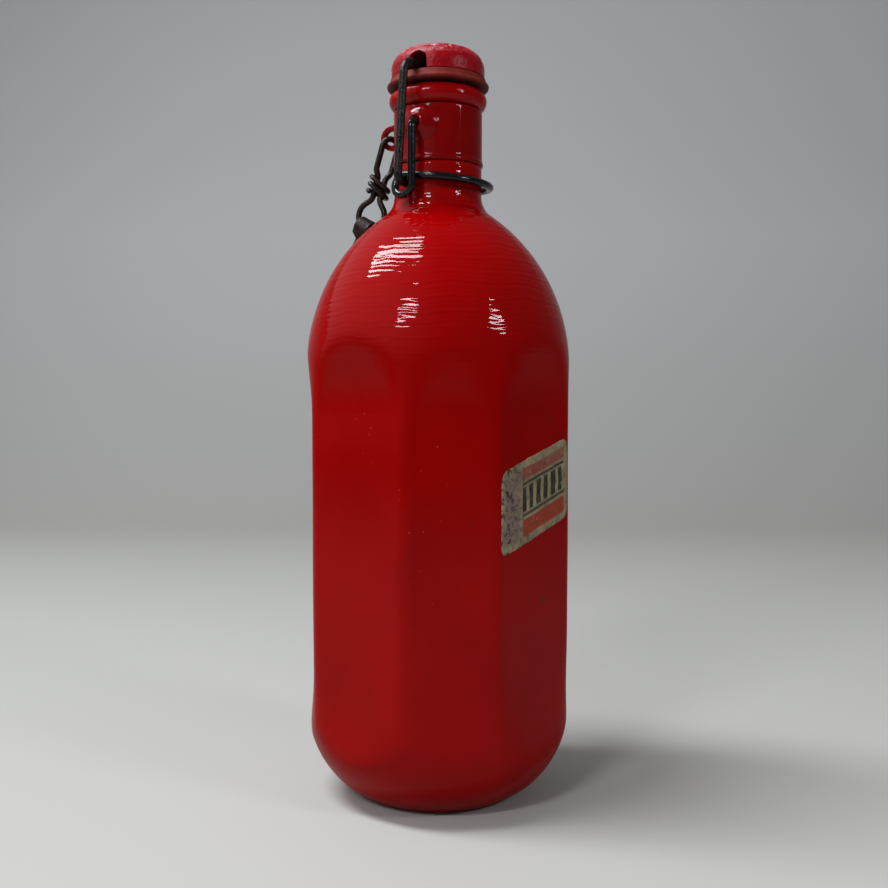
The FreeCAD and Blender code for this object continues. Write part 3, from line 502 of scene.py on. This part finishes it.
def sticker_paper():
    """Plain worn sticker: pale border, red and orange stripes, a row of dark bars, one end rubbed grey."""
    pale_paper = (0.30, 0.245, 0.140, 1)
    stained_paper = (0.13, 0.105, 0.064, 1)
    stripe_red = (0.21, 0.016, 0.020, 1)
    stripe_orange = (0.27, 0.020, 0.006, 1)
    print_black = (0.006, 0.006, 0.006, 1)
    rubbed_grey = (0.155, 0.10, 0.10, 1)
    dirt_black = (0.022, 0.018, 0.018, 1)
    bare_paper = (0.33, 0.30, 0.24, 1)
    paint = Paint("sticker_paper")
    flat = paint.add("SeparateXYZ", {"Vector": paint.coords.outputs["UV"]})
    along = flat.outputs["X"]
    level = flat.outputs["Y"]
    rough_level = paint.plus(level, paint.times(paint.minus(paint.noise(260, 4), 0.5), 0.025))
    rough_along = paint.plus(along, paint.times(paint.minus(paint.noise(310, 4), 0.5), 0.02))
    colour = paint.mix(paint.ramp(paint.noise(210, 6, 0.65), 0.35, 0.7), pale_paper, stained_paper)

    wear = paint.ramp(paint.noise(420, 8, 0.75), 0.40, 0.58)
    kept = paint.ramp(wear, 0, 1, 1.0, 0.78)
    printed = paint.band(rough_along, 0.30, 0.94)
    red = paint.times(paint.band(rough_level, 0.76, 0.90), printed)
    colour = paint.mix(paint.times(red, paint.ramp(wear, 0, 1, 0.95, 0.5)), colour, stripe_red)
    orange = paint.times(paint.band(rough_level, 0.10, 0.30), printed)
    colour = paint.mix(paint.times(orange, kept), colour, stripe_orange)

    uneven = paint.times(paint.noise(120, 2), 5.0)
    bars = paint.ramp(paint.sine(paint.plus(paint.times(rough_along, 56.0), uneven)), -0.45, -0.15)
    bar_row = paint.times(paint.times(bars, paint.band(rough_level, 0.39, 0.68)), printed)
    upper_rule = paint.band(rough_level, 0.70, 0.735)
    lower_rule = paint.band(rough_level, 0.335, 0.37)
    rules = paint.times(paint.larger(upper_rule, lower_rule), printed)
    colour = paint.mix(paint.times(paint.larger(bar_row, rules), kept), colour, print_black)

    end_columns = paint.band(rough_along, 0.04, 0.27, 0.03)
    end_rows = paint.band(rough_level, 0.10, 0.90, 0.04)
    rubbed_end = paint.times(end_columns, end_rows)
    patches = paint.ramp(paint.noise(380, 8, 0.8), 0.40, 0.60, 0.35, 0.9)
    colour = paint.mix(paint.times(rubbed_end, patches), colour, rubbed_grey)
    toward_end = paint.ramp(along, 0.45, 0.10, 0.12, 1.0)
    specks = paint.times(paint.ramp(paint.noise(620, 6, 0.7), 0.52, 0.57), toward_end)
    colour = paint.mix(paint.times(specks, 0.9), colour, dirt_black)
    bare = paint.times(paint.ramp(paint.noise(540, 6, 0.7), 0.63, 0.70), 0.8)
    colour = paint.mix(bare, colour, bare_paper)

    dullness = paint.ramp(wear, 0, 1, 0.42, 0.68)
    creases = paint.bump(paint.noise(330, 6, 0.7), 0.35, 0.0003)
    return paint.set(Base_Color=colour, Roughness=dullness, Normal=creases, Specular_IOR_Level=0.15)


def floor_card():
    """Warm grey matt studio card, lighter and neutral where it rises into the backdrop."""
    warm_grey = (0.405, 0.397, 0.372, 1)
    light_grey = (0.53, 0.53, 0.53, 1)
    paint = Paint("floor_card")
    colour = paint.mix(paint.ramp(paint.axis("Z"), 0.0, 0.35), warm_grey, light_grey)
    return paint.set(Base_Color=colour, Roughness=0.7)


# The vessel, and the solids that keep their CAD form

add_mesh("vessel", *shell(), enamel(), "bottle", "bottle_shell", "red_enamel")


def soften(piece, voxel, turns, lumps=0.0, grain=1.0):
    """Rounds the edges of a piece by modifiers, and makes it a little lumpy if asked to."""
    remesh = piece.modifiers.new("fine", "REMESH")
    remesh.mode = "VOXEL"
    remesh.voxel_size = voxel * MM
    remesh.use_smooth_shade = True
    smooth = piece.modifiers.new("rounded", "SMOOTH")
    smooth.iterations = turns
    smooth.factor = 0.5
    if lumps:
        texture = bpy.data.textures.new(piece.name + "_lumps", "CLOUDS")
        texture.noise_scale = grain * MM
        texture.noise_depth = 3
        push = piece.modifiers.new("lumps", "DISPLACE")
        push.texture = texture
        push.texture_coords = "LOCAL"
        push.strength = lumps * MM
        push.mid_level = 1.0


def dress(name, material):
    """Gives a CAD node its material."""
    mesh = nodes[name].data
    mesh.materials.clear()
    mesh.materials.append(material)


dress("neck_collar", collar_enamel())
dress("lever_wire", black_wire())
dress("bail_wire", bail_steel())
dress("stopper_cap", cap_plastic())
dress("carry_link", link_steel())
dress("strap_rivet", rivet_brass())
soften(nodes["neck_collar"], voxel=0.22, turns=22)
soften(nodes["stopper_cap"], voxel=0.25, turns=5, lumps=0.25, grain=1.6)


# Rubber ring, a turned piece with rounded edges

RING_BOTTOM = 218.85
RING_TOP = RING_BOTTOM + 3.25
RING_BORE = 6.44
RING_MIDDLE = 11.0
UNDERSIDE_BEND = (14.0, RING_BOTTOM + 0.02)
RIM_START = (14.8, RING_BOTTOM + 0.08)
RIM_CENTRE = (15.28, RING_BOTTOM + 0.82)
RIM_ROUND = 0.76
RIM_END = (15.42, RING_BOTTOM + 1.64)
RING_WAIST = (15.34, RING_BOTTOM + 1.80)
TAPER_TOP = (14.98, RING_BOTTOM + 2.85)
TOP_EDGE_CENTRE = (14.6, RING_BOTTOM + 2.85)
TOP_EDGE_ROUND = 0.38
UNEVEN_DEPTH = 0.07
UNEVEN_RADIUS = 12.0
RING_SIDES = 160


def ring_profile():
    """Half section of the ring, from its bore out under the rim, up its taper and back over the top."""
    profile = [(RING_BORE, RING_BOTTOM), (RING_MIDDLE, RING_BOTTOM), UNDERSIDE_BEND, RIM_START]
    profile += arc(RIM_CENTRE, RIM_ROUND, -80, 62, 14)
    profile += [RIM_END, RING_WAIST]
    profile += line(RING_WAIST, TAPER_TOP, 6)
    profile += arc(TOP_EDGE_CENTRE, TOP_EDGE_ROUND, 15, 90, 6)
    profile += [(RING_MIDDLE, RING_TOP), (RING_BORE, RING_TOP)]
    return profile


def ring_mesh():
    """Points and faces of the ring, its outer part slightly out of round, always inwards."""
    turn = round_angles(RING_SIDES)
    uneven = UNEVEN_DEPTH * (np.sin(2 * turn + 0.7) + np.sin(5 * turn + 2.0) - 2)
    profile = ring_profile()
    rings = [turned_ring(radius + uneven * (radius > UNEVEN_RADIUS), z, turn) for radius, z in profile]
    faces = lathe_faces(len(profile), RING_SIDES)
    last_ring = (len(profile) - 1) * RING_SIDES
    for j in range(RING_SIDES):
        k = (j + 1) % RING_SIDES
        faces.append((last_ring + j, last_ring + k, k, j))
    return np.concatenate(rings), faces


add_mesh("rubber_ring", *ring_mesh(), ring_rubber(), "stopper", "sealing_ring", "ring_rubber")


# Binding wire round the waist of the link

EAR = np.array([0, 16.1, 206.0])
LINK_TILT = math.radians(17.951)
ACROSS = np.array([-0.5, 0.866, 0])
THROUGH = np.array([-0.866, -0.5, 0])
DOWN = np.array([0, 0, -1])
BINDING_RADIUS = 0.75
BINDING_TURNS = 2.25
BINDING_START = -math.pi / 4
BINDING_STEPS = 140
BINDING_WIDE = 3.18
BINDING_THIN = 2.49
BINDING_BOXINESS = 0.72
BINDING_DROP = 16.4
BINDING_PITCH = 2.2
BINDING_SLOPE = math.tan(math.radians(18))
WIRE_SIDES = 18
END_SHARE = 0.55
FIRST_SIDE = [0.3, 0.5, 0.8]


def hang(points):
    """Turns points of the hanging link outwards and puts them at the ear."""
    x, y, z = np.asarray(points).T
    cosine = math.cos(LINK_TILT)
    sine = math.sin(LINK_TILT)
    return np.stack([x, y * cosine - z * sine, y * sine + z * cosine], 1) + EAR


def boxed(wave):
    """A wave of the same sign, filled out towards a box."""
    return np.sign(wave) * np.abs(wave) ** BINDING_BOXINESS


def binding_path():
    """Middle line of the wound wire: a squarish coil, its turns sloping across the link."""
    turns = np.linspace(0, BINDING_TURNS, BINDING_STEPS)
    angle = FULL_TURN * turns + BINDING_START
    wide = BINDING_WIDE * boxed(np.cos(angle))
    thin = BINDING_THIN * boxed(np.sin(angle))
    drop = BINDING_DROP + (turns - BINDING_TURNS / 2) * BINDING_PITCH - BINDING_SLOPE * wide
    return hang(ACROSS * wide[:, None] + THROUGH * thin[:, None] + DOWN * drop[:, None])


def wire_mesh(path, radius):
    """Points and faces of a closed tube along a path, its ends rounded off by a smaller ring."""
    count = len(path)
    along = np.gradient(path, axis=0)
    along /= np.linalg.norm(along, axis=1)[:, None]
    angles = round_angles(WIRE_SIDES)
    side = np.cross(along[0], FIRST_SIDE)
    rings = []
    for i in range(count):
        side = side - along[i] * np.dot(side, along[i])
        side /= np.linalg.norm(side)
        other = np.cross(along[i], side)
        size = radius * (END_SHARE if i in (0, count - 1) else 1.0)
        rings.append(path[i] + size * (np.cos(angles)[:, None] * side + np.sin(angles)[:, None] * other))
    return np.concatenate(rings + [path[:1], path[-1:]]), lathe_faces(count, WIRE_SIDES, True)


add_mesh("binding_wire", *wire_mesh(binding_path(), BINDING_RADIUS), binding_steel(),
         "link", "link_binding", "binding_wire")


# Leather strap, swollen and creased from its flat solid

leather = bpy.data.objects.new("leather_strap", nodes["strap_tab"].data.copy())
bpy.context.scene.collection.objects.link(leather)
leather.data.materials.clear()
leather.data.materials.append(strap_leather())
soften(leather, voxel=0.24, turns=5, lumps=0.22, grain=2.2)
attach(leather, "strap")
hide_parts("strap_tab")


# Sticker, lying on one broad flat

STICKER_TURN = math.radians(BROAD_TURN + 270)
STICKER_WIDE = 33.8
STICKER_HIGH = 24.8
STICKER_BOTTOM = 77.4
STICKER_RISE = 9.6
STICKER_CORNER = 3.0
STICKER_FRONT = 0.10
STICKER_REAR = 0.02
EDGE_DROP = 0.05
EDGE_REACH = 0.6
RAGGED_SHARE = 0.012
RAGGED_REACH = 1.2
RAGGED_WAVE = 61.0
WANDER_WAVE = 23.0
WANDER = 3.0
COLUMNS = 72
ROWS = 48
LAYER = COLUMNS * ROWS


def on_skin(along, height, lift):
    """Points at a place along the flat and a height, lifted off the skin of the vessel."""
    out_way = np.array([math.cos(STICKER_TURN), math.sin(STICKER_TURN), 0])
    side_way = np.array([-out_way[1], out_way[0], 0])
    on_flat = out_way * BROAD_FLAT + side_way * along[..., None]
    phi = np.arctan2(on_flat[..., 1], on_flat[..., 0])
    radius = skin(np.full(phi.shape, CORNER), height, phi) + lift
    return np.stack([radius * np.cos(phi), radius * np.sin(phi), height], -1).reshape(-1, 3)


def sticker_points(u, v):
    """Front and rear of the paper: round corners, ragged long edges, thinner towards its edge."""
    from_end = np.minimum(u, 1 - u) * STICKER_WIDE
    from_edge = np.minimum(v, 1 - v) * STICKER_HIGH
    pull = np.clip(1 - from_end / STICKER_CORNER, 0, 1)
    trim = STICKER_CORNER * (1 - np.sqrt(1 - pull ** 2)) / STICKER_HIGH
    torn = np.abs(np.sin(u * RAGGED_WAVE + WANDER * np.sin(u * WANDER_WAVE)))
    ragged = RAGGED_SHARE * torn * np.clip(1 - from_edge / RAGGED_REACH, 0, 1)
    level = trim + v * (1 - 2 * trim) + np.where(v < 0.5, ragged, -ragged)
    along = (u - 0.5) * STICKER_WIDE
    height = STICKER_BOTTOM + u * STICKER_RISE + level * STICKER_HIGH
    edge = np.clip(1 - np.minimum(from_end, from_edge) / EDGE_REACH, 0, 1)
    front = on_skin(along, height, STICKER_FRONT - EDGE_DROP * edge)
    rear = on_skin(along, height, STICKER_REAR)
    return np.concatenate([front, rear])


def at(i, j, layer):
    """Number of the sticker's vertex in column i and row j; layer 0 is the front, 1 the rear."""
    return layer * LAYER + i * ROWS + j


def sticker_faces():
    """Front, rear and edge of the paper."""
    faces = []
    for i in range(COLUMNS - 1):
        for j in range(ROWS - 1):
            faces.append((at(i, j, 0), at(i + 1, j, 0), at(i + 1, j + 1, 0), at(i, j + 1, 0)))
            faces.append((at(i, j, 1), at(i, j + 1, 1), at(i + 1, j + 1, 1), at(i + 1, j, 1)))
    rim = [(i, 0) for i in range(COLUMNS)] + [(COLUMNS - 1, j) for j in range(1, ROWS)]
    rim += [(i, ROWS - 1) for i in range(COLUMNS - 2, -1, -1)] + [(0, j) for j in range(ROWS - 2, 0, -1)]
    for here, following in zip(rim, rim[1:] + rim[:1]):
        faces.append((at(*here, 0), at(*here, 1), at(*following, 1), at(*following, 0)))
    return faces


u, v = np.meshgrid(np.linspace(0, 1, COLUMNS), np.linspace(0, 1, ROWS), indexing="ij")
paper = add_mesh("paper_sticker", sticker_points(u, v), sticker_faces(), sticker_paper(), "bottle",
                 "sticker", "sticker_paper")
uv_layer = paper.data.uv_layers.new(name="UVMap")
for loop in paper.data.loops:
    place = loop.vertex_index % LAYER
    uv_layer.data[loop.index].uv = (u.flat[place], v.flat[place])


# Studio, in metres: floor and backdrop in one sweep, lamps, sky and camera

LOOK = math.radians(-64)
toward = Vector((math.sin(LOOK), -math.cos(LOOK), 0))
rightward = Vector((math.cos(LOOK), math.sin(LOOK), 0))

FLOOR_HALF_WIDTH = 2.6
FLOOR_FRONT = 1.6
FLOOR_BACK = -0.7
SWEEP_ROUND = 0.5
BACKDROP_TOP = 0.9


def sweep_profile():
    """Side view of the card, as distance to the front and height: flat floor, bend and backdrop."""
    profile = [(FLOOR_FRONT, 0.0), (FLOOR_FRONT / 2, 0.0), (0.0, 0.0), (FLOOR_BACK, 0.0)]
    for bend in np.radians(np.linspace(6, 90, 15)):
        back = FLOOR_BACK - SWEEP_ROUND * math.sin(bend)
        profile.append((back, SWEEP_ROUND - SWEEP_ROUND * math.cos(bend)))
    profile.append((FLOOR_BACK - SWEEP_ROUND, BACKDROP_TOP))
    return profile


def studio_floor():
    """The card, as one object that isn't part of the bottle."""
    profile = sweep_profile()
    points = [toward * front + rightward * side + UP * height
              for side in (-FLOOR_HALF_WIDTH, FLOOR_HALF_WIDTH) for front, height in profile]
    rows = len(profile)
    mesh = bpy.data.meshes.new("studio_floor")
    mesh.from_pydata(points, [], [(k, k + 1, rows + k + 1, rows + k) for k in range(rows - 1)])
    mesh.update()
    mesh.shade_smooth()
    mesh.materials.append(floor_card())
    card = bpy.data.objects.new("studio_floor", mesh)
    bpy.context.scene.collection.objects.link(card)
    return card


floor = studio_floor()

LAMP_AIM = UP * 0.14
COOL_WHITE = (0.94, 0.96, 1.0)
WINDOW_WHITE = (0.92, 0.96, 1.0)


def lamp(name, azimuth, elevation, distance, width, height, watts, colour, lean):
    """Soft leaning lamp aimed at the shoulder; azimuth is to the right of the camera's side."""
    azimuth = math.radians(azimuth)
    elevation = math.radians(elevation)
    level_way = toward * math.cos(azimuth) + rightward * math.sin(azimuth)
    way = level_way * math.cos(elevation) + UP * math.sin(elevation)
    data = bpy.data.lights.new(name, "AREA")
    data.shape = "RECTANGLE"
    data.size = width
    data.size_y = height
    data.energy = watts
    data.color = colour
    light = bpy.data.objects.new(name, data)
    light.location = LAMP_AIM + way * distance
    light.rotation_mode = "QUATERNION"
    light.rotation_quaternion = (-way).to_track_quat("-Z", "Y") @ Quaternion(UP, math.radians(lean))
    bpy.context.scene.collection.objects.link(light)


lamp("window_lamp", azimuth=-84, elevation=63, distance=0.95, width=0.60, height=0.19, watts=12.5,
     colour=WINDOW_WHITE, lean=52)
lamp("front_lamp", azimuth=-29, elevation=32, distance=0.85, width=0.25, height=0.070, watts=2.9,
     colour=COOL_WHITE, lean=32)
lamp("right_lamp", azimuth=55, elevation=25, distance=0.85, width=0.21, height=0.060, watts=1.8,
     colour=COOL_WHITE, lean=-38)

SKY_COLOUR = (0.80, 0.82, 0.85, 1)
SKY_EVERYWHERE = 0.15
SKY_LEFT = 0.70


def toward_side(tree, direction, way, low, high, bright):
    """Rises smoothly from 0 to bright as the sky turns to one side."""
    side = tree.nodes.new("ShaderNodeVectorMath")
    side.operation = "DOT_PRODUCT"
    side.inputs[1].default_value = way
    tree.links.new(direction, side.inputs[0])
    level = tree.nodes.new("ShaderNodeMapRange")
    level.interpolation_type = "SMOOTHSTEP"
    level.inputs["From Min"].default_value = low
    level.inputs["From Max"].default_value = high
    level.inputs["To Max"].default_value = bright
    tree.links.new(side.outputs["Value"], level.inputs["Value"])
    return level.outputs["Result"]


def studio_sky():
    """Pale sky, dim all round and brighter high up on the left."""
    world = bpy.data.worlds.new("studio_world")
    bpy.context.scene.world = world
    world.use_nodes = True
    tree = world.node_tree
    sky = tree.nodes["Background"]
    sky.inputs["Color"].default_value = SKY_COLOUR
    direction = tree.nodes.new("ShaderNodeTexCoord").outputs["Generated"]
    strength = tree.nodes.new("ShaderNodeMath")
    strength.operation = "MULTIPLY_ADD"
    strength.inputs[2].default_value = SKY_EVERYWHERE
    leftward = toward_side(tree, direction, -rightward, low=-0.1, high=0.75, bright=SKY_LEFT)
    upward = toward_side(tree, direction, UP, low=-0.25, high=0.40, bright=1.0)
    tree.links.new(leftward, strength.inputs[0])
    tree.links.new(upward, strength.inputs[1])
    tree.links.new(strength.outputs[0], sky.inputs["Strength"])


studio_sky()

CAMERA_DISTANCE = 0.347
CAMERA_HEIGHT = 0.1222
CAMERA_PITCH = math.radians(2.2)
LENS = 44.59
SENSOR = 36.0
PICTURE_WIDTH = 888
PICTURE_SHIFT = 6

camera_data = bpy.data.cameras.new("camera")
camera_data.lens = LENS
camera_data.sensor_width = SENSOR
camera_data.shift_x = PICTURE_SHIFT / PICTURE_WIDTH
camera = bpy.data.objects.new("camera", camera_data)
camera.location = toward * CAMERA_DISTANCE + UP * CAMERA_HEIGHT
camera.rotation_mode = "QUATERNION"
gaze = -toward * math.cos(CAMERA_PITCH) - UP * math.sin(CAMERA_PITCH)
camera.rotation_quaternion = gaze.to_track_quat("-Z", "Y")
bpy.context.scene.collection.objects.link(camera)
bpy.context.scene.camera = camera
bpy.context.scene.view_settings.view_transform = "Standard"
